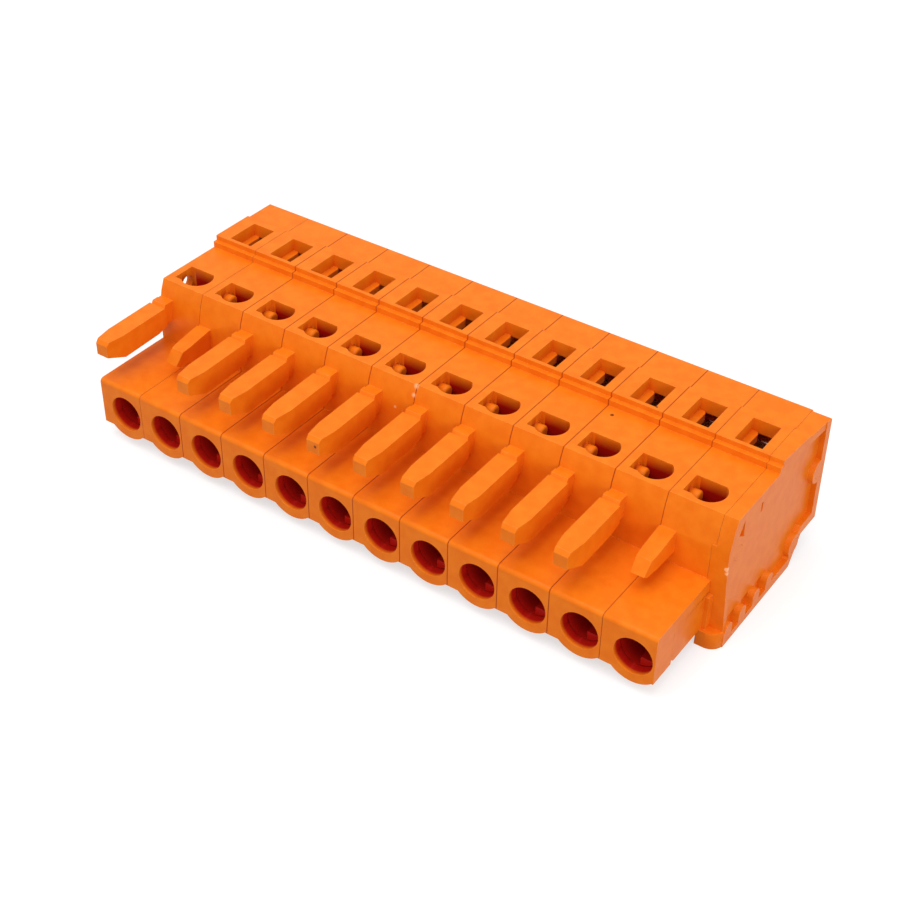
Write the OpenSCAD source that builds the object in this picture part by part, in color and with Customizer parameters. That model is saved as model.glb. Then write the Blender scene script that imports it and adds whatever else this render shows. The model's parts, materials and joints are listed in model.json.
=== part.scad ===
// Pluggable female terminal block: a row of stacked pole housings closed by an end plate.
// Each housing holds one contact and one cage clamp spring, and carries a break-off finger.
// Row frame while drawing: x from the left end, y from the nose front, z from the underside.

/* [Row] */
// Number of poles
poles = 12; // [3:1:16]
// Distance from pole to pole
pitch = 5.08; // [5:0.01:5.3]
// Gap between neighbouring housings
seam = 0.03; // [0.01:0.01:0.06]
// Wall on the left side of a housing, which closes the neighbour's chamber
wall = 0.78; // [0.7:0.01:0.9]

/* [Housing profile] */
// Depth from the nose front to the rear face
depth = 26.2; // [26:0.1:28]
// Height of the clamp part
top_h = 14.17; // [13.9:0.01:15]
// Height of the lower top in front of it
low_top_h = 13.05; // [12.9:0.01:13.2]
// How far the strip along the rear edge lies below the top
strip_drop = 0.2; // [0.1:0.05:0.4]
// Width of that strip
strip_w = 3.67; // [3:0.01:4]
// Depth of the upper top, strip included
upper_d = 8.47; // [8.2:0.01:8.6]
// Depth of the shelf halfway down the step
shelf_d = 0.45; // [0.3:0.05:0.6]
// Height of the shelf above the lower top
shelf_h = 0.62; // [0.4:0.02:0.8]
// How far the rear face leans forward at its top
rear_lean = 0.28; // [0:0.02:0.5]
// How far the slanted band and the wall below it lean back
band_lean = 0.92; // [0.6:0.02:1]
// Height of the rear heel above the underside
heel_h = 2.7; // [2.2:0.1:3]
// Depth of the rear heel
heel_d = 2.9; // [2.6:0.1:3.2]
// Run of the slant from the heel down to the underside
heel_slant = 1.8; // [1.4:0.1:2.2]
// Radius on the front and rear top edges
edge_r = 0.3; // [0.1:0.05:0.4]

/* [Plug nose] */
// Length of the nose in front of the housing wall
nose_len = 8.75; // [8.4:0.05:9.2]
// Height of the nose's top face
nose_top_h = 6.65; // [6.4:0.05:6.9]
// Height of the nose's flat underside
nose_base_h = 1.68; // [1.5:0.02:1.9]
// Radius of the round belly under each socket
belly_r = 2.77; // [2.6:0.01:2.9]
// Radius of the round pin socket
socket_r = 1.83; // [1.6:0.01:1.9]
// Height of the socket's centre
socket_h = 3.7; // [3.6:0.02:3.9]
// Distance of the socket's centre from the housing's left face
socket_x = 3.0; // [2.9:0.01:3.05]
// Length of the round mouth of the socket
socket_len = 1.2; // [1:0.1:1.6]
// Distance from the nose front to the opening in the nose's side
side_start = 2.9; // [2.6:0.1:3.2]
// Radius on the nose's front top edge
nose_r = 0.4; // [0.2:0.05:0.6]

/* [Coding fingers] */
// Width of a finger
finger_w = 1.95; // [1.7:0.05:2.2]
// How far a finger reaches over the seam on its left
finger_over = 0.2; // [0.05:0.05:0.3]
// Height of a long finger's top
finger_top_h = 11.2; // [11:0.05:11.4]
// Height of a long finger's underside
finger_base_h = 8.7; // [8.4:0.05:9]
// Gap between a long finger's tip and the nose front
finger_back = 0.05; // [0:0.05:1]
// Length of the taper at a long finger's tip
tip_len = 2; // [1.5:0.1:2.5]
// How far each side of the tip tapers in
tip_taper = 0.3; // [0.1:0.05:0.4]
// Length of the neck that snaps off
neck_len = 1.15; // [0.9:0.05:1.3]
// Depth of the snap-off notch
notch = 0.16; // [0.1:0.02:0.3]
// Length of a short finger
short_len = 4.8; // [4:0.1:5.5]
// Pole that has a short finger, counted from the left
short_from_left = 2; // [1:1:3]
// Pole that has a short finger, counted from the right
short_from_right = 1; // [1:1:3]

/* [Openings] */
// Width of the tool opening
tool_w = 2.6; // [2.4:0.1:2.8]
// Length of the tool opening in the top
tool_len = 3.6; // [3.2:0.1:3.8]
// Distance from the step to that opening
tool_lip = 0.38; // [0.3:0.02:0.6]
// Depth of the ledge inside it
ledge_drop = 1.3; // [1.1:0.05:1.5]
// Width of that ledge
ledge_w = 0.72; // [0.5:0.02:0.8]
// Height of the tool opening in the rear
tool_h = 1.8; // [1.4:0.1:1.9]
// Radius of the test port
port_r = 1.57; // [1.4:0.01:1.6]
// Distance of the test port's centre behind the housing wall
port_back = 2.95; // [2.8:0.05:3.05]
// Radius of the wire entry
wire_r = 1.45; // [1.2:0.05:1.45]
// Height of the wire entry's centre
wire_h = 5.55; // [5.5:0.01:5.6]
// Radius of the wire funnel's mouth
funnel_r = 1.95; // [1.7:0.05:2.1]

/* [Pegs] */
// Radius of the pegs that join the housings
peg_r = 0.7; // [0.6:0.01:0.75]
// Clearance of a peg in its hole
peg_gap = 0.03; // [0.02:0.01:0.06]
// Thickness of the end plate behind its rim
plate_t = 1.29; // [1.2:0.01:1.5]
// Height of the rim and bosses on the end plate
rim_t = 0.54; // [0.3:0.02:0.7]
// Width of that rim
rim_w = 1; // [0.7:0.05:1.1]
// Radius of the bosses round the pegs
boss_r = 1.3; // [1.15:0.05:1.35]
// How far the end plate's front lap reaches over the last housing
lap = 0.35; // [0.2:0.05:0.4]

/* [Contact and clamp] */
// Thickness of the contact strip
contact_t = 0.4; // [0.3:0.05:0.5]
// Width of the contact strip
contact_w = 3.1; // [2.8:0.1:3.2]
// Width of the contact's tail inside the clamp's cage
tail_w = 1.8; // [1.5:0.1:1.9]
// Gap between the two contact tongues at their closest
tongue_gap = 0.9; // [0.7:0.05:1]
// Thickness of the clamp spring
spring_t = 0.4; // [0.3:0.05:0.45]
// Width of the clamp spring
spring_w = 3.3; // [3.2:0.05:3.4]
// Width of the window in the clamp's cage
window_w = 2.26; // [2.2:0.02:2.4]
// Radius of the post that carries the clamp
post_r = 1.5; // [1.4:0.05:1.55]
// Clearance between the post and the clamp's bend
post_gap = 0.05; // [0.03:0.01:0.1]
// Clearance between the clamp's foot and the contact
foot_gap = 0.25; // [0.2:0.01:0.3]
// Radius on the corner between the arm and the cage
cage_r = 0.8; // [0.5:0.05:1]
// Gap between the cage and the chamber's rear wall
cage_gap = 2.15; // [2:0.05:2.4]

/* [Hidden] */
$fn = 48;
eps = 0.01;
pass = 2;                                   // how far a cut runs out into the open
plastic = [0.95, 0.42, 0.08];
tinned = [0.72, 0.72, 0.74];
steel = [0.62, 0.62, 0.64];

row_w = poles * pitch;                      // all the housings
plate_w = plate_t + rim_t;
housing_w = pitch - seam;

// Side outline of the housing
strip_h = top_h - strip_drop;
rear_top_y = depth - rear_lean;
strip_y = rear_top_y - strip_w;
upper_y = rear_top_y - upper_d;
foot_end_y = depth - heel_d - heel_slant;
heel_y = depth - heel_d;
band_y = nose_len + band_lean;              // front edge of the lower top
band_h = 1.1;                               // height of the slanted band
bulge_h = 3.1;                              // from the lower top down to the upright wall
band_foot_y = nose_len + band_lean / 2;

// Roofs and walls of the chamber
roof_t = 1.2;                               // both tops
front_t = 1.35;                             // front wall
floor_t = 1.3;
rear_t = 1.3;
chamber_rear_y = depth - rear_t;
heel_floor_h = heel_h + floor_t;
front_wall_y = nose_len + front_t;
low_roof_h = low_top_h - roof_t;
high_roof_h = strip_h - roof_t;
roof_step_y = upper_y + wall / 2;           // where the roof steps up
roof_run = 1;                               // run of that step

// Test port and the blocks round it
port_x = 2.6;
port_flat = 1.2;                            // from its centre to its flat rear side
port_corner = 2.4;                          // length of its square corner
port_rear_y = nose_len + port_back + port_flat;
port_block_y = port_rear_y + 0.95 * wall;
port_block_t = 2.65;                        // height of the block round it
port_block_h = low_top_h - port_block_t;
lintel_y = nose_len + 2 * front_t;
lintel_t = 1.9;
lintel_h = port_block_h - lintel_t;

// Ledge beside the blade in the top tool opening
ledge_t = 0.8;
ledge_h = top_h - ledge_drop;
ledge_base_h = ledge_h - ledge_t;

// Post, clamp and contact stations: the clamp keeps clear of the roof and of the ledge
clamp_x = 2.85;                             // middle of the clamp
roof_gap = 0.35;
bend_r = post_r + post_gap + spring_t;
post_y = port_block_y + bend_r;
post_h = min(low_roof_h, ledge_base_h) - roof_gap - bend_r;
strip_top_h = post_h - bend_r - foot_gap;   // upper face of the contact strip
strip_base_h = strip_top_h - contact_t;
pedestal_y = [post_y - bend_r - wall, post_y + bend_r];
pedestal_gap = 0.02;
post_end = 0.25;                            // gap between the post and the neighbour
foot_len = 0.8;
cage_y = chamber_rear_y - cage_gap;         // rear face of the cage
cage_drop = 0.95;                           // from the strip down to the cage's end
cage_base_h = strip_base_h - cage_drop;
window_sill = 0.7;
window_head = 1.4;                          // from the cage's top down to its window
tail_len = 4.4;
tail_end_y = cage_y + cage_gap * 0.3;
tail_y = tail_end_y - tail_len;             // where the strip narrows to its tail
tongue_y = side_start + 0.2;
tongue_end_y = nose_len - 0.5;
tongue_lead = 0.8;
tongue_h = 1.9;
flare = 0.3;
bed_w = 2.2;                                // width of the strip between the tongues
bed_h = socket_h - tongue_h / 2;
rise_y = front_wall_y + 0.5;                // where the strip rises to the clamp
rise_run = 1.9;

// Tool openings, over the arm and behind the bend
tool_x = clamp_x - tool_w / 2;
tool_y = upper_y + tool_lip;
tool_z = post_h + bend_r - tool_h / 2;
funnel_len = 0.6;

// Socket chamber behind the round mouth, with its corner block
chamber_half = socket_r - 0.08;
block_x = socket_x + 0.15;
block_h = socket_h - 0.9;
slot_h = 2.9;                               // height of the opening in the nose's side
slot_base_h = socket_h - slot_h * 0.42;

// Pegs: [y, z, length], two in bosses, one by the front wall, and one in the test port
rear_peg_h = 8.65;
heel_peg_h = 2.06;
wall_peg_h = 9.05;
port_peg_drop = 1.45;
peg_in = 0.55;
peg_end = 0.1;                              // room past a peg's end
pegs = [
    [chamber_rear_y - 0.1, rear_peg_h, seam + plate_w],
    [foot_end_y + peg_in, heel_peg_h, seam + plate_w],
    [nose_len + front_t * 1.3, wall_peg_h, seam + plate_t],
    [port_rear_y - port_flat * 0.67, low_top_h - port_peg_drop, seam + 0.7 * plate_t]
];

// Finger stations
finger_root_y = nose_len + 0.25;
finger_bed_y = nose_len + 0.55;             // end of a finger inside the front wall
bar_end_y = finger_root_y - neck_len;
bar_h = finger_top_h - finger_base_h;
neck_in = finger_over / 2;                  // how much narrower the neck is on each side
short_w = finger_w - 2 * finger_over;
short_top_h = finger_top_h - 1.05;
short_base_h = 7.85;
short_tip_y = nose_len - short_len;

// End plate details
rim_slack = 0.1;
rear_in = 0.2;                              // how far its rear edge lies in front of the housings'
recess = 0.3;
recess_h = 11;
nick_y = nose_len + 1.4;                    // three-cornered recess by the front wall
nick_w = 1;
nick_h = 1.2;
slot_in = 5.2;                              // from the housing wall to the small slot
wedge_top_h = 8.5;
pockets = 3;
pocket_y = nose_len + 2.15;                 // middle of the first pocket in the lower rim
pocket_len = 1.3;
pocket_step = 2.55;
pocket_base_h = 0.65;
comb_h = 1.5;                               // height of the lower rim beside the pockets
lap_d = 0.8;                                // depth of the lap on the front wall
lap_h = 10.4;
lip_d = 0.95;                               // how far the lip at its foot stands out in front
lip_h = 1.7;
lip_r = 1.3;
lip_x = 0.5;                                // middle of the lip's round side
root_d = 0.65;                              // thick root of the flap above the lip
root_w = 0.7;
flap_h = slot_base_h + slot_h - seam;       // top of the flap on the nose's side
flap_sink = 0.16;                           // how much lower it is at its root
tongue_in = 0.85;                           // how far the tongue behind it reaches into the nose

function label(i) = str(i < 10 ? "0" : "", i);
function has_short(i) = i == short_from_left || i == poles + 1 - short_from_right;
PARTS = ["pole_", "contact_", "clamp_"];

// Puts the row's base centre at the origin
module placed(x = 0) translate([x - (row_w + plate_w - finger_over) / 2, -depth / 2, 0]) children();
module at_pole(i) placed((i - 1) * pitch) children();

// Extrudes a (y, z) outline along x
module across(w, x = 0) translate([x, 0, 0]) rotate([90, 0, 90]) linear_extrude(w) children();

// What rounding an edge takes off the outline's corner at p, which lies at the sx, sy side
module corner_cut(p, r, sx, sy) translate(p) scale([sx, sy]) translate([-r, -r]) difference() {
    square(r + eps);
    circle(r);
}

module housing_outline() difference() {
    polygon([
        [nose_len, 0], [foot_end_y, 0], [heel_y, heel_h], [depth, heel_h],
        [rear_top_y, strip_h], [strip_y, strip_h], [strip_y, top_h],
        [upper_y, top_h], [upper_y, low_top_h + shelf_h],
        [upper_y - shelf_d, low_top_h + shelf_h], [upper_y - shelf_d, low_top_h],
        [band_y, low_top_h], [band_foot_y, low_top_h - band_h], [nose_len, low_top_h - bulge_h]
    ]);
    corner_cut([rear_top_y, strip_h], edge_r, 1, 1);
}

module nose_outline() difference() {
    translate([0, -belly_r]) square([front_wall_y, nose_top_h + belly_r]);
    corner_cut([0, nose_top_h], nose_r, -1, 1);
}

// The nose seen from the front, in (x, z): a flat underside that swells into a round belly
module nose_front() intersection() {
    union() {
        translate([0, nose_base_h]) square([housing_w, nose_top_h - nose_base_h]);
        translate([socket_x, socket_h]) circle(belly_r);
    }
    square([housing_w, nose_top_h]);
}

module nose() intersection() {
    across(housing_w) nose_outline();
    translate([0, front_wall_y, 0]) rotate([90, 0, 0]) linear_extrude(front_wall_y) nose_front();
}

// What the end plate's lap and flap take off the last housing, with a clearance all round
module lap_cut() translate([housing_w - lap, 0, 0]) {
    translate([0, nose_len - eps, -eps]) cube([pass, lap_d, lap_h]);
    translate([0, side_start, 0]) cube([pass, nose_len - side_start, slot_base_h + slot_h]);
}

// Inside of the housing, open to the right
module chamber_outline() difference() {
    polygon([
        [front_wall_y, floor_t], [foot_end_y - wall, floor_t], [heel_y - wall / 2, heel_floor_h],
        [chamber_rear_y, heel_floor_h], [chamber_rear_y, high_roof_h],
        [roof_step_y, high_roof_h], [roof_step_y - roof_run, low_roof_h],
        [port_block_y, low_roof_h], [port_block_y, port_block_h],
        [lintel_y, port_block_h], [lintel_y, lintel_h], [front_wall_y, lintel_h]
    ]);
    for (p = [pegs[0], pegs[1]]) translate([p[0], p[1]]) circle(boss_r);
    translate([pedestal_y[0], 0])
        square([pedestal_y[1] - pedestal_y[0], strip_base_h - pedestal_gap]);
}

// Test port in (x, y): round, with a square corner that frees the neighbour's peg
module port_plan() {
    intersection() {
        translate([port_x, nose_len + port_back]) circle(port_r);
        translate([0, port_rear_y - pitch]) square(pitch);
    }
    translate([wall, port_rear_y - port_corner]) square([port_x - wall, port_corner]);
}

// Round mouth, squarish chamber behind it, and the opening in the nose's side
module socket_cut() {
    translate([socket_x, socket_len, socket_h]) rotate([90, 0, 0]) cylinder(h = socket_len + pass, r = socket_r);
    difference() {
        translate([socket_x - chamber_half, socket_len - eps, socket_h - chamber_half])
            cube([2 * chamber_half, nose_len - socket_len, 2 * chamber_half]);
        translate([block_x, 0, 0]) cube([pitch, front_wall_y, block_h]);
    }
    translate([socket_x, side_start, slot_base_h]) cube([pitch, front_wall_y + pass - side_start, slot_h]);
    translate([socket_x - socket_r, nose_len - chamber_half, slot_base_h]) cube([pitch, front_t + pass, slot_h]);
}

module wire_cut() translate([clamp_x, chamber_rear_y, wire_h]) rotate([-90, 0, 0]) {
    translate([0, 0, -pass / 2]) cylinder(h = rear_t + pass, r = wire_r);
    translate([0, 0, rear_t - funnel_len]) cylinder(h = funnel_len, r1 = wire_r, r2 = funnel_r);
}

module tool_cuts() translate([tool_x, 0, 0]) {
    translate([0, tool_y, high_roof_h - pass]) cube([tool_w, tool_len, 3 * pass]);
    translate([0, chamber_rear_y - pass / 2, tool_z]) cube([tool_w, rear_t + pass, tool_h]);
}

// Ledge in the tool opening, beside the blade, with a round corner at its rear
module tool_ledge() translate([wall - eps, tool_y - eps, ledge_base_h]) linear_extrude(ledge_t) difference() {
    square([tool_x + ledge_w - wall, tool_len + 2 * eps]);
    corner_cut([tool_x + ledge_w - wall, tool_len + 2 * eps], ledge_w / 2, 1, 1);
}

module peg_holes() for (p = pegs)
    across(p[2] + peg_end, -eps) translate([p[0], p[1]]) circle(peg_r + peg_gap);

// Side view of the long finger's bar, in (y, z)
module bar_side() polygon([
    [finger_back, finger_base_h + 0.32 * bar_h], [finger_back + tip_len, finger_base_h],
    [bar_end_y - neck_len, finger_base_h + 0.06 * bar_h], [bar_end_y, finger_base_h + 0.2 * bar_h],
    [bar_end_y, finger_top_h - notch], [bar_end_y - notch, finger_top_h],
    [finger_back + 0.14 * bar_h, finger_top_h - 0.04 * bar_h], [finger_back, finger_top_h - 0.18 * bar_h]
]);

module neck_side() polygon([
    [bar_end_y - eps, finger_base_h + 0.2 * bar_h], [finger_bed_y, finger_base_h + 0.2 * bar_h],
    [finger_bed_y, finger_top_h + notch], [bar_end_y + notch, finger_top_h + notch],
    [bar_end_y - eps, finger_top_h - notch]
]);

module short_side() polygon([
    [short_tip_y, short_base_h + 0.22 * bar_h], [short_tip_y + 0.2 * bar_h, short_base_h + 0.08 * bar_h],
    [finger_bed_y, short_base_h], [finger_bed_y, short_top_h], [short_tip_y + 0.4 * bar_h, short_top_h - 0.26 * bar_h]
]);

// A finger seen from above, in (x, y), tapered at its tip
module finger_plan(x0, x1, tip_y, end_y, taper) polygon([
    [x0 + taper, tip_y], [x1 - taper, tip_y], [x1, tip_y + tip_len], [x1, end_y],
    [x0, end_y], [x0, tip_y + tip_len]
]);

module long_finger() {
    intersection() {
        across(finger_w, -finger_over) bar_side();
        linear_extrude(top_h)
            finger_plan(-finger_over, finger_w - finger_over, finger_back, bar_end_y, tip_taper);
    }
    across(finger_w - 3 * neck_in, -neck_in) neck_side();
}

module short_finger() intersection() {
    across(short_w, -neck_in) short_side();
    linear_extrude(top_h) finger_plan(-neck_in, short_w - neck_in, short_tip_y, finger_bed_y, tip_taper / 2);
}

module pole_housing(i) color(plastic) at_pole(i) {
    difference() {
        union() {
            across(housing_w) housing_outline();
            nose();
        }
        across(pitch, wall) chamber_outline();
        translate([0, 0, port_block_h - pass]) linear_extrude(2 * pass + low_top_h - port_block_h) port_plan();
        socket_cut();
        wire_cut();
        tool_cuts();
        peg_holes();
        if (i == poles) lap_cut();
    }
    tool_ledge();
    for (p = pegs) across(p[2] + wall / 2, housing_w - wall / 2) translate([p[0], p[1]]) circle(peg_r);
    across(pitch - wall - post_end + eps, wall - eps) translate([post_y, post_h]) circle(post_r);
    difference() {
        if (has_short(i)) short_finger(); else long_finger();
        // Over the seam, a finger stops short of the neighbour's wall
        translate([-pitch, nose_len - seam, 0]) cube([pitch, depth, top_h]);
    }
}

// Contact tongue in (x, y), from the socket's centre line outwards: a lead-in, then a gap that widens
module tongue_plan() {
    x = tongue_gap / 2;
    polygon([
        [x + 0.8 * contact_t, tongue_y], [x, tongue_y + tongue_lead], [x + flare, tongue_end_y],
        [x + flare + contact_t, tongue_end_y], [x + contact_t, tongue_y + tongue_lead], [x + 1.6 * contact_t, tongue_y]
    ]);
}

module contact(i) color(tinned) at_pole(i) {
    for (side = [0, 1])
        translate([socket_x, 0, bed_h]) mirror([side, 0, 0]) linear_extrude(tongue_h) tongue_plan();
    across(bed_w, socket_x - bed_w / 2) polygon([
        [tongue_end_y - front_t, bed_h], [rise_y, bed_h], [rise_y + rise_run, strip_base_h], [post_y, strip_base_h],
        [post_y, strip_top_h], [rise_y + rise_run - contact_t, strip_top_h], [rise_y - contact_t, bed_h + contact_t],
        [tongue_end_y - front_t, bed_h + contact_t]
    ]);
    translate([clamp_x - contact_w / 2, rise_y + rise_run, strip_base_h])
        cube([contact_w, tail_y - rise_y - rise_run, contact_t]);
    translate([clamp_x - tail_w / 2, tail_y - eps, strip_base_h]) cube([tail_w, tail_end_y - tail_y, contact_t]);
}

// Clamp in (y, z) round the post: short foot, bend, arm, round corner and the cage leg
module clamp_outline() {
    reach = cage_y - post_y;
    difference() {
        circle(bend_r);
        circle(bend_r - spring_t);
        translate([0, -2 * bend_r]) square(4 * bend_r);
    }
    translate([-eps, -bend_r]) square([foot_len, spring_t]);
    translate([-eps, bend_r - spring_t]) square([reach - cage_r + 2 * eps, spring_t]);
    translate([reach - cage_r, bend_r - cage_r]) intersection() {
        difference() {
            circle(cage_r);
            circle(cage_r - spring_t);
        }
        square(cage_r);
    }
    translate([reach - spring_t, cage_base_h - post_h])
        square([spring_t, post_h + bend_r - cage_r - cage_base_h + eps]);
}

module clamp(i) color(steel) at_pole(i) difference() {
    across(spring_w, clamp_x - spring_w / 2) translate([post_y, post_h]) clamp_outline();
    translate([clamp_x - window_w / 2, cage_y - spring_t - pass / 4, cage_base_h + window_sill])
        cube([window_w, spring_t + pass / 2, post_h + bend_r - window_head - cage_base_h - window_sill]);
}

module plate_outline() intersection() {
    housing_outline();
    translate([-rear_in, 0]) housing_outline();
}

// What the rim leaves free of that outline, open towards the front and the top
module field_outline() polygon([
    [0, rim_w], [foot_end_y - rim_w / 2, rim_w], [heel_y - rim_w / 2, heel_h + rim_w],
    [depth - rear_in - rim_w, heel_h + rim_w], [rear_top_y - rear_in - rim_w, top_h + pass], [0, top_h + pass]
]);

module end_plate() color(plastic) placed(row_w) difference() {
    union() {
        across(plate_t) plate_outline();
        intersection() {
            across(plate_w) plate_outline();
            union() {
                across(plate_w) difference() {
                    plate_outline();
                    field_outline();
                }
                for (p = [pegs[0], pegs[1]])
                    across(plate_w) translate([p[0], p[1]]) circle(boss_r - rim_slack);
                top_wedge();
                front_wedge();
                comb();
            }
        }
        front_lap();
        flap();
        // Tongue that closes the opening in the last nose's side
        translate([-tongue_in, side_start + rim_slack, slot_base_h + rim_slack])
            cube([tongue_in - lap / 2, front_wall_y - side_start, slot_h - 2 * rim_slack - flap_sink]);
    }
    peg_holes();
    pockets_cut();
    // Two small recesses near the front and the top
    translate([plate_t - recess, nose_len + slot_in, recess_h]) cube([pass, recess, 1]);
    across(pass, plate_t - recess) polygon([
        [nick_y, recess_h], [nick_y + 0.8 * nick_w, recess_h + nick_h], [nick_y + nick_w, recess_h - nick_h / 2]
    ]);
}

// Rib along the upper top that runs out towards the front
module top_wedge() translate([0, 0, top_h - rim_w]) linear_extrude(rim_w) polygon([
    [plate_t - eps, upper_y], [plate_w, rear_top_y], [plate_t - eps, rear_top_y]
]);

// Rib up the front edge that runs out towards the top
module front_wedge() translate([0, nose_len + rim_t, 0]) rotate([90, 0, 0]) linear_extrude(rim_t) polygon([
    [plate_t - eps, rim_w - eps], [plate_w - rim_slack, rim_w - eps], [plate_t - eps, wedge_top_h]
]);

// Wide part of the lower rim, whose posts end round between the pockets
module comb() across(plate_w) {
    translate([nose_len, 0]) square([pocket_y + pocket_step * (pockets - 0.5) - nose_len, comb_h]);
    for (k = [0:pockets])
        translate([pocket_y + pocket_step * (k - 0.5), comb_h]) circle((pocket_step - pocket_len) / 2);
}

module pockets_cut() for (k = [0:pockets - 1])
    translate([plate_t - recess, pocket_y + pocket_step * k - pocket_len / 2, pocket_base_h])
        cube([recess + rim_t + pass, pocket_len, comb_h]);

// Lap over the last housing's front wall; in front of it the flap's root and a round lip at its foot
module front_lap() {
    translate([-lap, nose_len, 0]) cube([lap + eps, lap_d - seam, lap_h - seam]);
    translate([-lap, nose_len - root_d, 0]) cube([root_w, root_d + eps, flap_h - flap_sink]);
    linear_extrude(lip_h) intersection() {
        translate([-lap, nose_len - lip_d]) square([plate_w - rim_slack + lap, lip_d + eps]);
        union() {
            translate([lip_x, nose_len - lip_d + lip_r]) circle(lip_r);
            translate([-lap, 0]) square([lap + lip_x, depth]);
        }
    }
}

// Flap flush with the side of the last housing's nose, from its underside up
module flap() across(lap - 2 * seam, -lap) polygon([
    [side_start + rim_slack, nose_base_h + rim_w / 3], [side_start + rim_slack, flap_h - seam],
    [nose_len, flap_h - flap_sink], [nose_len, nose_base_h], [side_start + rim_w / 2, nose_base_h]
]);

for (i = [1:poles]) pole_housing(i);
for (i = [1:poles]) contact(i);
for (i = [1:poles]) clamp(i);
end_plate();
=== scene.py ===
import json
import math

import bmesh
import bpy
import numpy as np
from mathutils import Matrix, Vector

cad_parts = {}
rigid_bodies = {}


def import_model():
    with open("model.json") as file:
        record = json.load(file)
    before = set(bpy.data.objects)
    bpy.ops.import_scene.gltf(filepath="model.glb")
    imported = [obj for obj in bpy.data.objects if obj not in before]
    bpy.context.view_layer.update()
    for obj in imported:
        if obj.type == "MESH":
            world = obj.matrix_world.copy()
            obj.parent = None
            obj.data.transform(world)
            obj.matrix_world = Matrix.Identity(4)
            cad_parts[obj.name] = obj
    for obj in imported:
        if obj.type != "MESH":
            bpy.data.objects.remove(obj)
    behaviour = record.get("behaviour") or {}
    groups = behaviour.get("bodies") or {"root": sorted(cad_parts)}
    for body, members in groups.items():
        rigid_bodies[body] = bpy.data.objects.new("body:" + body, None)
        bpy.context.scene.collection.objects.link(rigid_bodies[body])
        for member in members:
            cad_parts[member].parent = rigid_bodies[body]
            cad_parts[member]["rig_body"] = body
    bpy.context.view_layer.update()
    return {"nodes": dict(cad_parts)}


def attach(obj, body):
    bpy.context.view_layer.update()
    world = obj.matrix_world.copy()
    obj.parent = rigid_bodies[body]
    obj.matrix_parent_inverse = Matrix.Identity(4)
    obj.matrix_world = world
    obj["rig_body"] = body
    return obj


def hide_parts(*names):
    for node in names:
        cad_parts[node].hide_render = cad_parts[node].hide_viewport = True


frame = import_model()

nodes = frame["nodes"]
row = {"x": -0.031295, "y": -0.0131, "pitch": 0.00508, "poles": 12}     # first pole's corner, step between poles


# ---------- camera ----------

camera = {
    "eye": (0.068911, -0.099280, 0.097041),   # metres, above the nose's right end
    "heading": -34.6143,                      # degrees, clockwise from +Y
    "down": 37.5836,
    "roll": -0.8457,
    "lens": 65.534,
}


def placeCamera(c):
    cam = bpy.data.objects.new("camera", bpy.data.cameras.new("camera"))
    bpy.context.scene.collection.objects.link(cam)
    a, e, r = (math.radians(c[k]) for k in ("heading", "down", "roll"))
    ahead = Vector((math.sin(a) * math.cos(e), math.cos(a) * math.cos(e), -math.sin(e)))
    side = ahead.cross(Vector((0, 0, 1))).normalized()
    top = side.cross(ahead)
    up = top * math.cos(r) + side * math.sin(r)
    right = ahead.cross(up)
    cam.matrix_world = Matrix.Translation(c["eye"]) @ Matrix((right, up, -ahead)).transposed().to_4x4()
    cam.data.lens = c["lens"]
    cam.data.sensor_width = 36
    cam.data.clip_start = 0.005
    cam.data.clip_end = 20
    bpy.context.scene.camera = cam


placeCamera(camera)
print("camera placed")


# ---------- shared shader groups ----------

def put(tree, kind, x, y, **values):
    n = tree.nodes.new(kind)
    n.location = (x, y)
    for k, v in values.items():
        setattr(n, k, v)
    return n


def newGroup(name, inputs, outputs):
    g = bpy.data.node_groups.new(name, "ShaderNodeTree")
    kinds = {"float": "NodeSocketFloat", "color": "NodeSocketColor", "vector": "NodeSocketVector"}
    for label, kind in inputs:
        g.interface.new_socket(name=label, in_out="INPUT", socket_type=kinds[kind])
    for label, kind in outputs:
        g.interface.new_socket(name=label, in_out="OUTPUT", socket_type=kinds[kind])
    return g, put(g, "NodeGroupInput", -900, 0), put(g, "NodeGroupOutput", 900, 0)


def useGroup(tree, group, x, y, **values):
    n = put(tree, "ShaderNodeGroup", x, y)
    n.node_tree = group
    for k, v in values.items():
        n.inputs[k.replace("_", " ")].default_value = v
    return n


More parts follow.
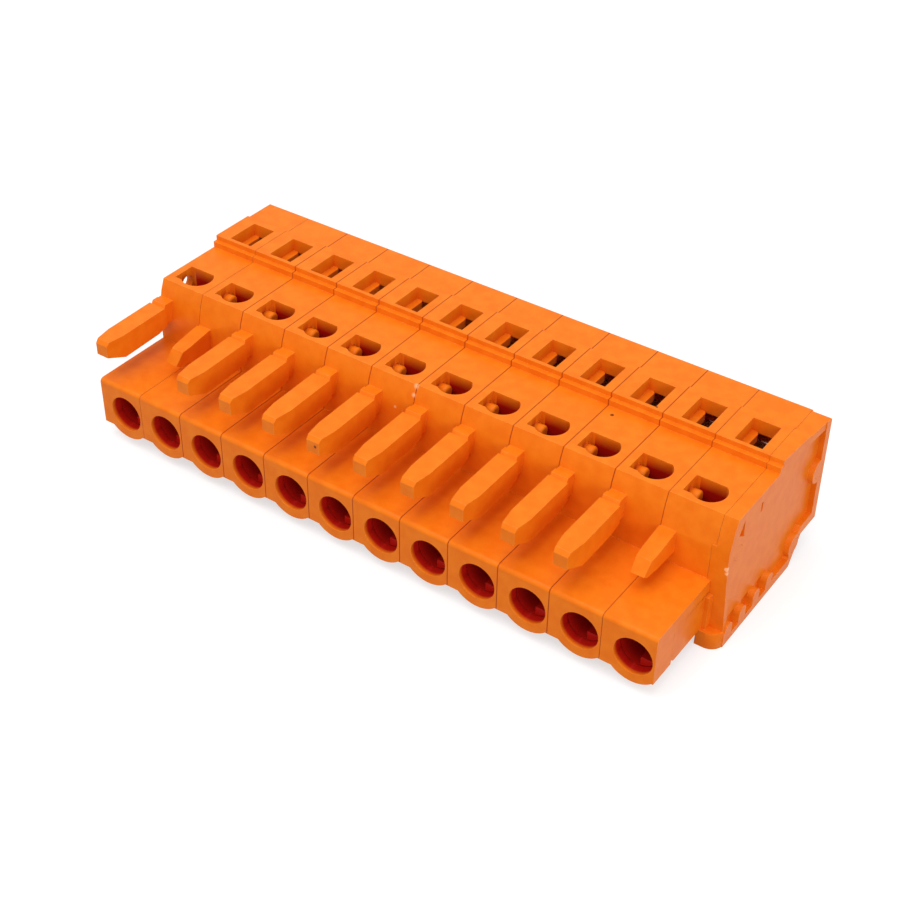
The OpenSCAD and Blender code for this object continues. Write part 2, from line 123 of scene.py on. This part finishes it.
def mouldedSkinGroup():
    # Two noises: broad flow marks shift the colour a little, fine grain feeds roughness and height
    g, gi, go = newGroup("mouldedSkin",
                         [("Vector", "vector"), ("Base", "color"), ("Flow", "color"), ("Flow Scale", "float"),
                          ("Grain Scale", "float"), ("Roughness", "float"), ("Spread", "float")],
                         [("Color", "color"), ("Roughness", "float"), ("Height", "float")])
    broad = put(g, "ShaderNodeTexNoise", -600, 200)
    broad.inputs["Detail"].default_value = 3.0
    fine = put(g, "ShaderNodeTexNoise", -600, -200)
    fine.inputs["Detail"].default_value = 2.0
    ramp = put(g, "ShaderNodeMapRange", -350, 200)
    ramp.inputs["From Min"].default_value = 0.35
    ramp.inputs["From Max"].default_value = 0.65
    mix = put(g, "ShaderNodeMix", 0, 200, data_type="RGBA")
    centred = put(g, "ShaderNodeMath", -350, -200, operation="SUBTRACT")
    centred.inputs[1].default_value = 0.5
    scaled = put(g, "ShaderNodeMath", -100, -200, operation="MULTIPLY_ADD")
    ln = g.links
    ln.new(gi.outputs["Vector"], broad.inputs["Vector"])
    ln.new(gi.outputs["Vector"], fine.inputs["Vector"])
    ln.new(gi.outputs["Flow Scale"], broad.inputs["Scale"])
    ln.new(gi.outputs["Grain Scale"], fine.inputs["Scale"])
    ln.new(broad.outputs["Fac"], ramp.inputs["Value"])
    ln.new(ramp.outputs["Result"], mix.inputs["Factor"])
    ln.new(gi.outputs["Base"], mix.inputs["A"])
    ln.new(gi.outputs["Flow"], mix.inputs["B"])
    ln.new(fine.outputs["Fac"], centred.inputs[0])
    ln.new(centred.outputs[0], scaled.inputs[0])
    ln.new(gi.outputs["Spread"], scaled.inputs[1])
    ln.new(gi.outputs["Roughness"], scaled.inputs[2])
    ln.new(mix.outputs["Result"], go.inputs["Color"])
    ln.new(scaled.outputs[0], go.inputs["Roughness"])
    ln.new(fine.outputs["Fac"], go.inputs["Height"])
    return g


def spotGroup():
    # One mark: 1 inside the radius round a place, falling to 0 over the soft edge, broken up by noise
    g, gi, go = newGroup("spot",
                         [("Vector", "vector"), ("Place", "vector"), ("Radius", "float"), ("Soft", "float"),
                          ("Ragged", "float")],
                         [("Mask", "float")])
    dist = put(g, "ShaderNodeVectorMath", -600, 100, operation="DISTANCE")
    noise = put(g, "ShaderNodeTexNoise", -600, -150)
    noise.inputs["Scale"].default_value = 4000
    noise.inputs["Detail"].default_value = 3.0
    centred = put(g, "ShaderNodeMath", -400, -150, operation="SUBTRACT")
    centred.inputs[1].default_value = 0.5
    wobble = put(g, "ShaderNodeMath", -200, -50, operation="MULTIPLY_ADD")
    outer = put(g, "ShaderNodeMath", -200, -250, operation="ADD")
    ramp = put(g, "ShaderNodeMapRange", 200, 0)
    ramp.inputs["To Min"].default_value = 1.0
    ramp.inputs["To Max"].default_value = 0.0
    ln = g.links
    ln.new(gi.outputs["Vector"], dist.inputs[0])
    ln.new(gi.outputs["Place"], dist.inputs[1])
    ln.new(gi.outputs["Vector"], noise.inputs["Vector"])
    ln.new(noise.outputs["Fac"], centred.inputs[0])
    ln.new(centred.outputs[0], wobble.inputs[0])
    ln.new(gi.outputs["Ragged"], wobble.inputs[1])
    ln.new(dist.outputs["Value"], wobble.inputs[2])
    ln.new(gi.outputs["Radius"], outer.inputs[0])
    ln.new(gi.outputs["Soft"], outer.inputs[1])
    ln.new(wobble.outputs[0], ramp.inputs["Value"])
    ln.new(gi.outputs["Radius"], ramp.inputs["From Min"])
    ln.new(outer.outputs[0], ramp.inputs["From Max"])
    ln.new(ramp.outputs["Result"], go.inputs["Mask"])
    return g


def hollowGroup():
    # A mask for the painted shade in sockets, ports and where housings meet, repeating with the poles: 1 where
    # the distance from a middle, counted in half widths, is under 1, ramped up between two depths along an axis
    # and cut off at a third
    g, gi, go = newGroup("hollow",
                         [("Vector", "vector"), ("Corner", "vector"), ("Pitch", "float"), ("Middle", "vector"),
                          ("Inverse Half", "vector"), ("Depth Axis", "vector"), ("Depth Start", "float"),
                          ("Depth Full", "float"), ("Depth End", "float")],
                         [("Mask", "float")])
    ln = g.links
    local = put(g, "ShaderNodeVectorMath", -700, 200, operation="SUBTRACT")
    ln.new(gi.outputs["Vector"], local.inputs[0])
    ln.new(gi.outputs["Corner"], local.inputs[1])
    part = put(g, "ShaderNodeSeparateXYZ", -520, 200)
    ln.new(local.outputs["Vector"], part.inputs[0])
    wrap = put(g, "ShaderNodeMath", -350, 300, operation="FLOORED_MODULO")
    ln.new(part.outputs["X"], wrap.inputs[0])
    ln.new(gi.outputs["Pitch"], wrap.inputs[1])
    again = put(g, "ShaderNodeCombineXYZ", -180, 200)
    ln.new(wrap.outputs[0], again.inputs["X"])
    ln.new(part.outputs["Y"], again.inputs["Y"])
    ln.new(part.outputs["Z"], again.inputs["Z"])
    away = put(g, "ShaderNodeVectorMath", 0, 200, operation="SUBTRACT")
    ln.new(again.outputs["Vector"], away.inputs[0])
    ln.new(gi.outputs["Middle"], away.inputs[1])
    scaled = put(g, "ShaderNodeVectorMath", 180, 200, operation="MULTIPLY")
    ln.new(away.outputs["Vector"], scaled.inputs[0])
    ln.new(gi.outputs["Inverse Half"], scaled.inputs[1])
    size = put(g, "ShaderNodeVectorMath", 360, 200, operation="LENGTH")
    ln.new(scaled.outputs["Vector"], size.inputs[0])
    inside = put(g, "ShaderNodeMath", 520, 200, operation="LESS_THAN")
    ln.new(size.outputs["Value"], inside.inputs[0])
    inside.inputs[1].default_value = 1.0
    depth = put(g, "ShaderNodeVectorMath", 180, -100, operation="DOT_PRODUCT")
    ln.new(again.outputs["Vector"], depth.inputs[0])
    ln.new(gi.outputs["Depth Axis"], depth.inputs[1])
    ramp = put(g, "ShaderNodeMapRange", 360, -100)
    ln.new(depth.outputs["Value"], ramp.inputs["Value"])
    ln.new(gi.outputs["Depth Start"], ramp.inputs["From Min"])
    ln.new(gi.outputs["Depth Full"], ramp.inputs["From Max"])
    before = put(g, "ShaderNodeMath", 360, -300, operation="LESS_THAN")
    ln.new(depth.outputs["Value"], before.inputs[0])
    ln.new(gi.outputs["Depth End"], before.inputs[1])
    within = put(g, "ShaderNodeMath", 620, -200, operation="MULTIPLY")
    ln.new(inside.outputs[0], within.inputs[0])
    ln.new(before.outputs[0], within.inputs[1])
    both = put(g, "ShaderNodeMath", 780, 0, operation="MULTIPLY")
    ln.new(within.outputs[0], both.inputs[0])
    ln.new(ramp.outputs["Result"], both.inputs[1])
    ln.new(both.outputs[0], go.inputs["Mask"])
    return g


mouldedSkin = mouldedSkinGroup()
hollow = hollowGroup()
spot = spotGroup()
print("shader groups made")


# ---------- plastics ----------

housingPlastic = {
    "base": (0.80, 0.165, 0.0050),
    "flow": (0.84, 0.195, 0.0080),    # slightly paler where the plastic flowed
    "flowScale": 900,                 # per metre
    "grainScale": 22000,
    "roughness": 0.36,
    "spread": 0.12,
    "specular": 0.10,
    "bump": 0.05,
    "bumpDepth": 0.000012,
}

edgeHighlightPlastic = {
    "base": (0.93, 0.36, 0.075),      # painted highlight: rounded edges are paler, standing for the light they catch, and smoother
    "flow": (0.96, 0.42, 0.11),
    "flowScale": 2500,
    "grainScale": 22000,
    "roughness": 0.30,
    "spread": 0.10,
    "specular": 0.40,
    "bump": 0.05,
    "bumpDepth": 0.000012,
}

dirt = {
    "color": (0.20, 0.035, 0.006),
    "spots": [                        # place in metres, radius
        ((0.01542, 0.00285, 0.01305), 0.00014),
        ((0.01867, 0.00477, 0.01417), 0.00009),
        ((0.02820, -0.00047, 0.01305), 0.00010),
        ((-0.00486, -0.01305, 0.01028), 0.00012),
        ((0.00885, -0.01000, 0.00370), 0.00022),
    ],
    "soft": 0.4,                      # soft edge and raggedness, as shares of the radius
    "ragged": 0.6,
}

scuff = {
    "color": (1.0, 0.50, 0.24),
    "spots": [                        # whitened places: place, radius, soft edge
        ((0.03090, -0.00435, 0.00841), 0.00018, 0.00010),
        ((0.03093, -0.00430, 0.00795), 0.00009, 0.00014),
        ((-0.00092, -0.00350, 0.01294), 0.00003, 0.00030),
        ((-0.00096, -0.00380, 0.01212), 0.00002, 0.00026),
        ((-0.00273, -0.00420, 0.01033), 0.00005, 0.00014),
        ((-0.00193, -0.00415, 0.01026), 0.00003, 0.00012),
    ],
}


glow = (0.44, 0.008, 0.004)           # painted shade: deep red darkening inside the sockets and ports, standing for the dim red light in them
paintedSeamShade = (0.55, 0.085, 0.006)          # painted shade: dark line where two housings meet, standing for the shade in the gap

# painted shade inside sockets, then ports: middle, one over half width, depth axis, depth start, full and end,
# colour
hollowShades = [
    ((0.00300, 0.004, 0.00370), (520, 0, 520), (0, 1, 0), 0.00004, 0.00050, 0.0085, glow),
    ((0.00260, 0.01170, 0.0119), (540, 540, 0), (0, 0, -1), -0.01300, -0.01180, -0.0098, glow),
]
seamShades = [                             # painted shade where housings meet: on the body behind the nose, then on the nose, so that fingers stay free of it
    ((0, 0, 0), (24000, 0, 0), (0, 1, 0), 0.00860, 0.00861, 1, paintedSeamShade),
    ((row["pitch"], 0, 0), (14000, 0, 0), (0, 1, 0), 0.00860, 0.00861, 1, paintedSeamShade),
    ((0, 0, 0), (24000, 0, 0), (0, 0, -1), -0.00700, -0.00699, 1, paintedSeamShade),
    ((row["pitch"], 0, 0), (14000, 0, 0), (0, 0, -1), -0.00700, -0.00699, 1, paintedSeamShade),
]


def plasticMaterial(name, s, paintedShades):
    m = bpy.data.materials.new(name)
    m.use_nodes = True
    t = m.node_tree
    t.nodes.clear()
    out = put(t, "ShaderNodeOutputMaterial", 900, 0)
    bsdf = put(t, "ShaderNodeBsdfPrincipled", 600, 0)
    bsdf.inputs["Specular IOR Level"].default_value = s["specular"]
    coord = put(t, "ShaderNodeTexCoord", -900, 0)
    skin = useGroup(t, mouldedSkin, -500, 200, Base=(*s["base"], 1), Flow=(*s["flow"], 1),
                    Flow_Scale=s["flowScale"], Grain_Scale=s["grainScale"],
                    Roughness=s["roughness"], Spread=s["spread"])
    t.links.new(coord.outputs["Object"], skin.inputs["Vector"])
    color = skin.outputs["Color"]
    for i, (middle, inverse, axis, start, full, end, tint) in enumerate(paintedShades):
        hole = useGroup(t, hollow, -500, 500 + 300 * i, Corner=(row["x"], row["y"], 0), Pitch=row["pitch"],
                        Middle=middle, Inverse_Half=inverse, Depth_Axis=axis, Depth_Start=start, Depth_Full=full,
                        Depth_End=end)
        t.links.new(coord.outputs["Object"], hole.inputs["Vector"])
        mix = put(t, "ShaderNodeMix", -200, 500 + 300 * i, data_type="RGBA")
        mix.inputs["B"].default_value = (*tint, 1)
        t.links.new(hole.outputs["Mask"], mix.inputs["Factor"])
        t.links.new(color, mix.inputs["A"])
        color = mix.outputs["Result"]
    marks = [(p, r, dirt["soft"] * r, dirt["ragged"] * r, dirt["color"]) for p, r in dirt["spots"]]
    marks += [(p, r, soft, r, scuff["color"]) for p, r, soft in scuff["spots"]]
    for i, (place, radius, soft, ragged, tint) in enumerate(marks):
        mark = useGroup(t, spot, -500, -100 - 180 * i, Place=place, Radius=radius, Soft=soft, Ragged=ragged)
        t.links.new(coord.outputs["Object"], mark.inputs["Vector"])
        mix = put(t, "ShaderNodeMix", -200, -100 - 180 * i, data_type="RGBA")
        mix.inputs["B"].default_value = (*tint, 1)
        t.links.new(mark.outputs["Mask"], mix.inputs["Factor"])
        t.links.new(color, mix.inputs["A"])
        color = mix.outputs["Result"]
    t.links.new(color, bsdf.inputs["Base Color"])
    t.links.new(skin.outputs["Roughness"], bsdf.inputs["Roughness"])
    bump = put(t, "ShaderNodeBump", 300, -300)
    bump.inputs["Strength"].default_value = s["bump"]
    bump.inputs["Distance"].default_value = s["bumpDepth"]
    t.links.new(skin.outputs["Height"], bump.inputs["Height"])
    t.links.new(bump.outputs["Normal"], bsdf.inputs["Normal"])
    t.links.new(bsdf.outputs["BSDF"], out.inputs["Surface"])
    return m


# Face materials, and edge materials made paler as a painted highlight, of the inner poles with painted shade in
# sockets, ports and where housings meet, of the two outer poles with bare side faces and painted shade in
# sockets and ports only, and of the end plate without painted shade
inner = (plasticMaterial("orangePlastic", housingPlastic, hollowShades + seamShades),
         plasticMaterial("orangeEdgeHighlight", edgeHighlightPlastic, hollowShades + seamShades))
outer = (plasticMaterial("orangeOuter", housingPlastic, hollowShades),
         plasticMaterial("orangeOuterEdgeHighlight", edgeHighlightPlastic, hollowShades))
plain = (plasticMaterial("orangePlain", housingPlastic, []),
         plasticMaterial("orangePlainEdgeHighlight", edgeHighlightPlastic, []))
print("plastics made")


# ---------- metals ----------

tinnedContact = {
    "base": (0.62, 0.60, 0.60),
    "flow": (0.48, 0.46, 0.47),       # stained by handling
    "flowScale": 1400,
    "grainScale": 30000,
    "roughness": 0.30,
    "spread": 0.20,
    "bump": 0.08,
    "bumpDepth": 0.000006,
    "stretch": (1.0, 0.06, 1.0),      # drawn along the strip
}

springSteel = {
    "base": (0.50, 0.48, 0.50),
    "flow": (0.40, 0.37, 0.39),
    "flowScale": 1200,
    "grainScale": 26000,
    "roughness": 0.26,
    "spread": 0.18,
    "bump": 0.08,
    "bumpDepth": 0.000006,
    "stretch": (1.0, 0.08, 0.08),
}


def metalMaterial(name, s):
    m = bpy.data.materials.new(name)
    m.use_nodes = True
    t = m.node_tree
    t.nodes.clear()
    out = put(t, "ShaderNodeOutputMaterial", 600, 0)
    bsdf = put(t, "ShaderNodeBsdfPrincipled", 300, 0)
    bsdf.inputs["Metallic"].default_value = 1.0
    coord = put(t, "ShaderNodeTexCoord", -900, 0)
    mapping = put(t, "ShaderNodeMapping", -700, 0)
    mapping.inputs["Scale"].default_value = s["stretch"]
    skin = useGroup(t, mouldedSkin, -400, 0, Base=(*s["base"], 1), Flow=(*s["flow"], 1),
                    Flow_Scale=s["flowScale"], Grain_Scale=s["grainScale"],
                    Roughness=s["roughness"], Spread=s["spread"])
    bump = put(t, "ShaderNodeBump", 0, -250)
    bump.inputs["Strength"].default_value = s["bump"]
    bump.inputs["Distance"].default_value = s["bumpDepth"]
    t.links.new(coord.outputs["Object"], mapping.inputs["Vector"])
    t.links.new(mapping.outputs["Vector"], skin.inputs["Vector"])
    t.links.new(skin.outputs["Color"], bsdf.inputs["Base Color"])
    t.links.new(skin.outputs["Roughness"], bsdf.inputs["Roughness"])
    t.links.new(skin.outputs["Height"], bump.inputs["Height"])
    t.links.new(bump.outputs["Normal"], bsdf.inputs["Normal"])
    t.links.new(bsdf.outputs["BSDF"], out.inputs["Surface"])
    return m


contactMetal = metalMaterial("contactMetal", tinnedContact)
clampMetal = metalMaterial("clampMetal", springSteel)
print("metals made")


# ---------- moulded pieces ----------

moulding = {
    "bevel": 0.00008,
    "segments": 2,
    "angle": 32,          # edges sharper than this, in degrees, are rounded
    "weld": 2e-6,         # corners nearer than this are one
    "flat": 1.0,          # faces within this angle, in degrees, are one face
}


def mergedCopy(name, source):
    # A CAD node's loose triangles joined at their corners, with its flat faces whole again
    bm = bmesh.new()
    bm.from_mesh(source.data)
    bmesh.ops.remove_doubles(bm, verts=bm.verts, dist=moulding["weld"])
    bmesh.ops.dissolve_degenerate(bm, edges=bm.edges, dist=moulding["weld"])
    bmesh.ops.dissolve_limit(bm, angle_limit=math.radians(moulding["flat"]), verts=bm.verts, edges=bm.edges)
    for f in bm.faces:
        f.smooth = True
    mesh = bpy.data.meshes.new(name)
    bm.to_mesh(mesh)
    bm.free()
    obj = bpy.data.objects.new(name, mesh)
    bpy.context.scene.collection.objects.link(obj)
    return obj


def mould(name, node, s):
    obj = mergedCopy(name, nodes[node])
    for m in {"end_plate": plain, "pole_01": outer, "pole_12": outer}.get(node, inner):
        obj.data.materials.append(m)
    b = obj.modifiers.new("edges", "BEVEL")
    b.width = s["bevel"]
    b.segments = s["segments"]
    b.limit_method = "ANGLE"
    b.angle_limit = math.radians(s["angle"])
    b.use_clamp_overlap = True
    # the bevel faces take material 1, whose paler colour is a painted edge highlight
    b.material = 1
    w = obj.modifiers.new("flatFaces", "WEIGHTED_NORMAL")
    w.mode = "FACE_AREA"
    w.weight = 100
    w.keep_sharp = False
    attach(obj, nodes[node]["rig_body"])
    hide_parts(node)


for name in sorted(nodes):
    node = nodes[name]
    if name.startswith("pole_") or name == "end_plate":
        mould("moulded_" + name, name, moulding)
    else:
        isContact = name.startswith("contact")
        node.data.materials.clear()
        node.data.materials.append(contactMetal if isContact else clampMetal)
print("housings, end plate, contacts and clamps dressed")


# ---------- turned moulded pieces ----------

def turnedPiece(name, profile, closed, axis, places, sides, material):
    # Points p(u, t) = place + axis * a(u) + r(u) * (e1 cos t + e2 sin t), with (a, r) from the profile;
    # a closed profile joins its last ring to its first, an open one is capped at both ends
    ax = np.array(axis, float)
    e1 = np.array((0.0, 0.0, 1.0))
    e2 = np.cross(ax, e1)
    prof = np.array(profile, float)
    n = len(prof)
    t = np.arange(sides) * 2 * np.pi / sides
    ring = np.outer(np.cos(t), e1) + np.outer(np.sin(t), e2)
    one = prof[:, None, :1] * ax + prof[:, None, 1:] * ring[None, :, :]
    verts, faces = [], []
    for place in places:
        start = len(verts)
        verts += [tuple(v) for v in (one + np.array(place)).reshape(-1, 3)]
        for i in range(n if closed else n - 1):
            a, b = start + i * sides, start + (i + 1) % n * sides
            for j in range(sides):
                k = (j + 1) % sides
                faces.append((a + j, a + k, b + k, b + j))
        if not closed:
            faces.append(tuple(start + (n - 1) * sides + j for j in range(sides)))
            faces.append(tuple(start + j for j in reversed(range(sides))))
    mesh = bpy.data.meshes.new(name)
    mesh.from_pydata(verts, [], faces)
    mesh.polygons.foreach_set("use_smooth", [len(f) == 4 for f in faces])
    bm = bmesh.new()
    bm.from_mesh(mesh)
    bmesh.ops.recalc_face_normals(bm, faces=bm.faces)
    bm.to_mesh(mesh)
    bm.free()
    mesh.materials.append(material)
    obj = bpy.data.objects.new(name, mesh)
    bpy.context.scene.collection.objects.link(obj)
    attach(obj, "block")
    return obj


portPeg = {                           # in a pole's own frame, metres
    "from": 0.00080, "to": 0.00178,
    "y": 0.01195, "z": 0.01160,
    "r": 0.00068,
    "round": 0.00026,                 # radius of the rounded tip
    "taper": 0.00002,                 # how much thinner the buried end is
    "steps": 6,
    "sides": 32,
}


def portPegs(s):
    # Straight shank, then a quarter round down to a flat tip; the first pole has no neighbour on its left
    c = s["round"]
    profile = [(s["from"], s["r"] - s["taper"])]
    for v in np.linspace(0, np.pi / 2, s["steps"]):
        profile.append((s["to"] - c + c * np.sin(v), s["r"] - c + c * np.cos(v)))
    places = [(row["x"] + i * row["pitch"], row["y"] + s["y"], s["z"]) for i in range(1, row["poles"])]
    turnedPiece("port_pegs", profile, False, (1, 0, 0), places, s["sides"], plain[0])


portPegs(portPeg)

socketLining = {                      # in a pole's own frame, metres
    "x": 0.00300, "z": 0.00370,
    "in": 0.00174, "out": 0.00182,
    "from": 0.00115, "to": 0.0060,
    "sides": 48,
}


def socketLinings(s):
    # A thin round tube: the profile goes in along the outside and back along the inside
    profile = [(s["from"], s["out"]), (s["to"], s["out"]), (s["to"], s["in"]), (s["from"], s["in"])]
    places = [(row["x"] + i * row["pitch"] + s["x"], row["y"], s["z"]) for i in range(row["poles"])]
    # the pole material it takes darkens it with the painted shade of the sockets
    obj = turnedPiece("socket_linings", profile, True, (0, 1, 0), places, s["sides"], outer[0])
    obj.modifiers.new("flatEnds", "WEIGHTED_NORMAL").weight = 100


socketLinings(socketLining)
print("port pegs and socket linings made")


# ---------- floor and light ----------

studio = {
    "key": ((-0.02, -0.12, 0.44), 0.40, 1.10),     # place, size, watts
    "side": ((0.42, -0.20, 0.16), 0.20, 0.55),
    "sky": 0.76,
    "floorHalf": 3.0,
    "floorColor": 0.42,
    "floorGlow": 0.62,
}


def lamp(name, where, size, power):
    light = bpy.data.lights.new(name, "AREA")
    light.shape = "DISK"
    light.size = size
    light.energy = power
    o = bpy.data.objects.new(name, light)
    o.location = where
    o.rotation_mode = "QUATERNION"
    o.rotation_quaternion = (-Vector(where)).to_track_quat("-Z", "Y")
    bpy.context.scene.collection.objects.link(o)


def seenDirectly(tree, x, y):
    # 1 for camera, glossy and transmission rays, 0 for the rays that carry light
    path = put(tree, "ShaderNodeLightPath", x, y)
    first = put(tree, "ShaderNodeMath", x + 200, y, operation="MAXIMUM")
    both = put(tree, "ShaderNodeMath", x + 400, y, operation="MAXIMUM")
    tree.links.new(path.outputs["Is Camera Ray"], first.inputs[0])
    tree.links.new(path.outputs["Is Glossy Ray"], first.inputs[1])
    tree.links.new(first.outputs[0], both.inputs[0])
    tree.links.new(path.outputs["Is Transmission Ray"], both.inputs[1])
    return both.outputs[0]


def makeFloor(s):
    r = s["floorHalf"]
    o = bpy.data.objects.new("floor", bpy.data.meshes.new("floor"))
    o.data.from_pydata([(-r, -r, 0), (r, -r, 0), (r, r, 0), (-r, r, 0)], [], [(0, 1, 2, 3)])
    bpy.context.scene.collection.objects.link(o)
    m = bpy.data.materials.new("paleFloor")
    m.use_nodes = True
    t = m.node_tree
    t.nodes.clear()
    out = put(t, "ShaderNodeOutputMaterial", 600, 0)
    add = put(t, "ShaderNodeAddShader", 400, 0)
    paint = put(t, "ShaderNodeBsdfDiffuse", 100, 100)
    paint.inputs["Color"].default_value = (s["floorColor"], s["floorColor"], s["floorColor"], 1)
    glow = put(t, "ShaderNodeEmission", 100, -100)
    strength = put(t, "ShaderNodeMath", -100, -100, operation="MULTIPLY")
    strength.inputs[1].default_value = s["floorGlow"]
    t.links.new(seenDirectly(t, -800, -100), strength.inputs[0])
    t.links.new(strength.outputs[0], glow.inputs["Strength"])
    t.links.new(paint.outputs["BSDF"], add.inputs[0])
    t.links.new(glow.outputs["Emission"], add.inputs[1])
    t.links.new(add.outputs["Shader"], out.inputs["Surface"])
    o.data.materials.append(m)


def makeSky(s):
    world = bpy.data.worlds.new("studio")
    bpy.context.scene.world = world
    world.use_nodes = True
    t = world.node_tree
    bg = t.nodes["Background"]
    bg.inputs["Color"].default_value = (1, 1, 1, 1)
    level = put(t, "ShaderNodeMapRange", -200, 0)
    level.inputs["To Min"].default_value = s["sky"]
    level.inputs["To Max"].default_value = 1.0
    t.links.new(seenDirectly(t, -900, 0), level.inputs["Value"])
    t.links.new(level.outputs["Result"], bg.inputs["Strength"])


for name in ("key", "side"):
    lamp(name, *studio[name])
makeFloor(studio)
makeSky(studio)
print("floor, sky and lamps made")

bpy.context.scene.view_settings.view_transform = "Standard"
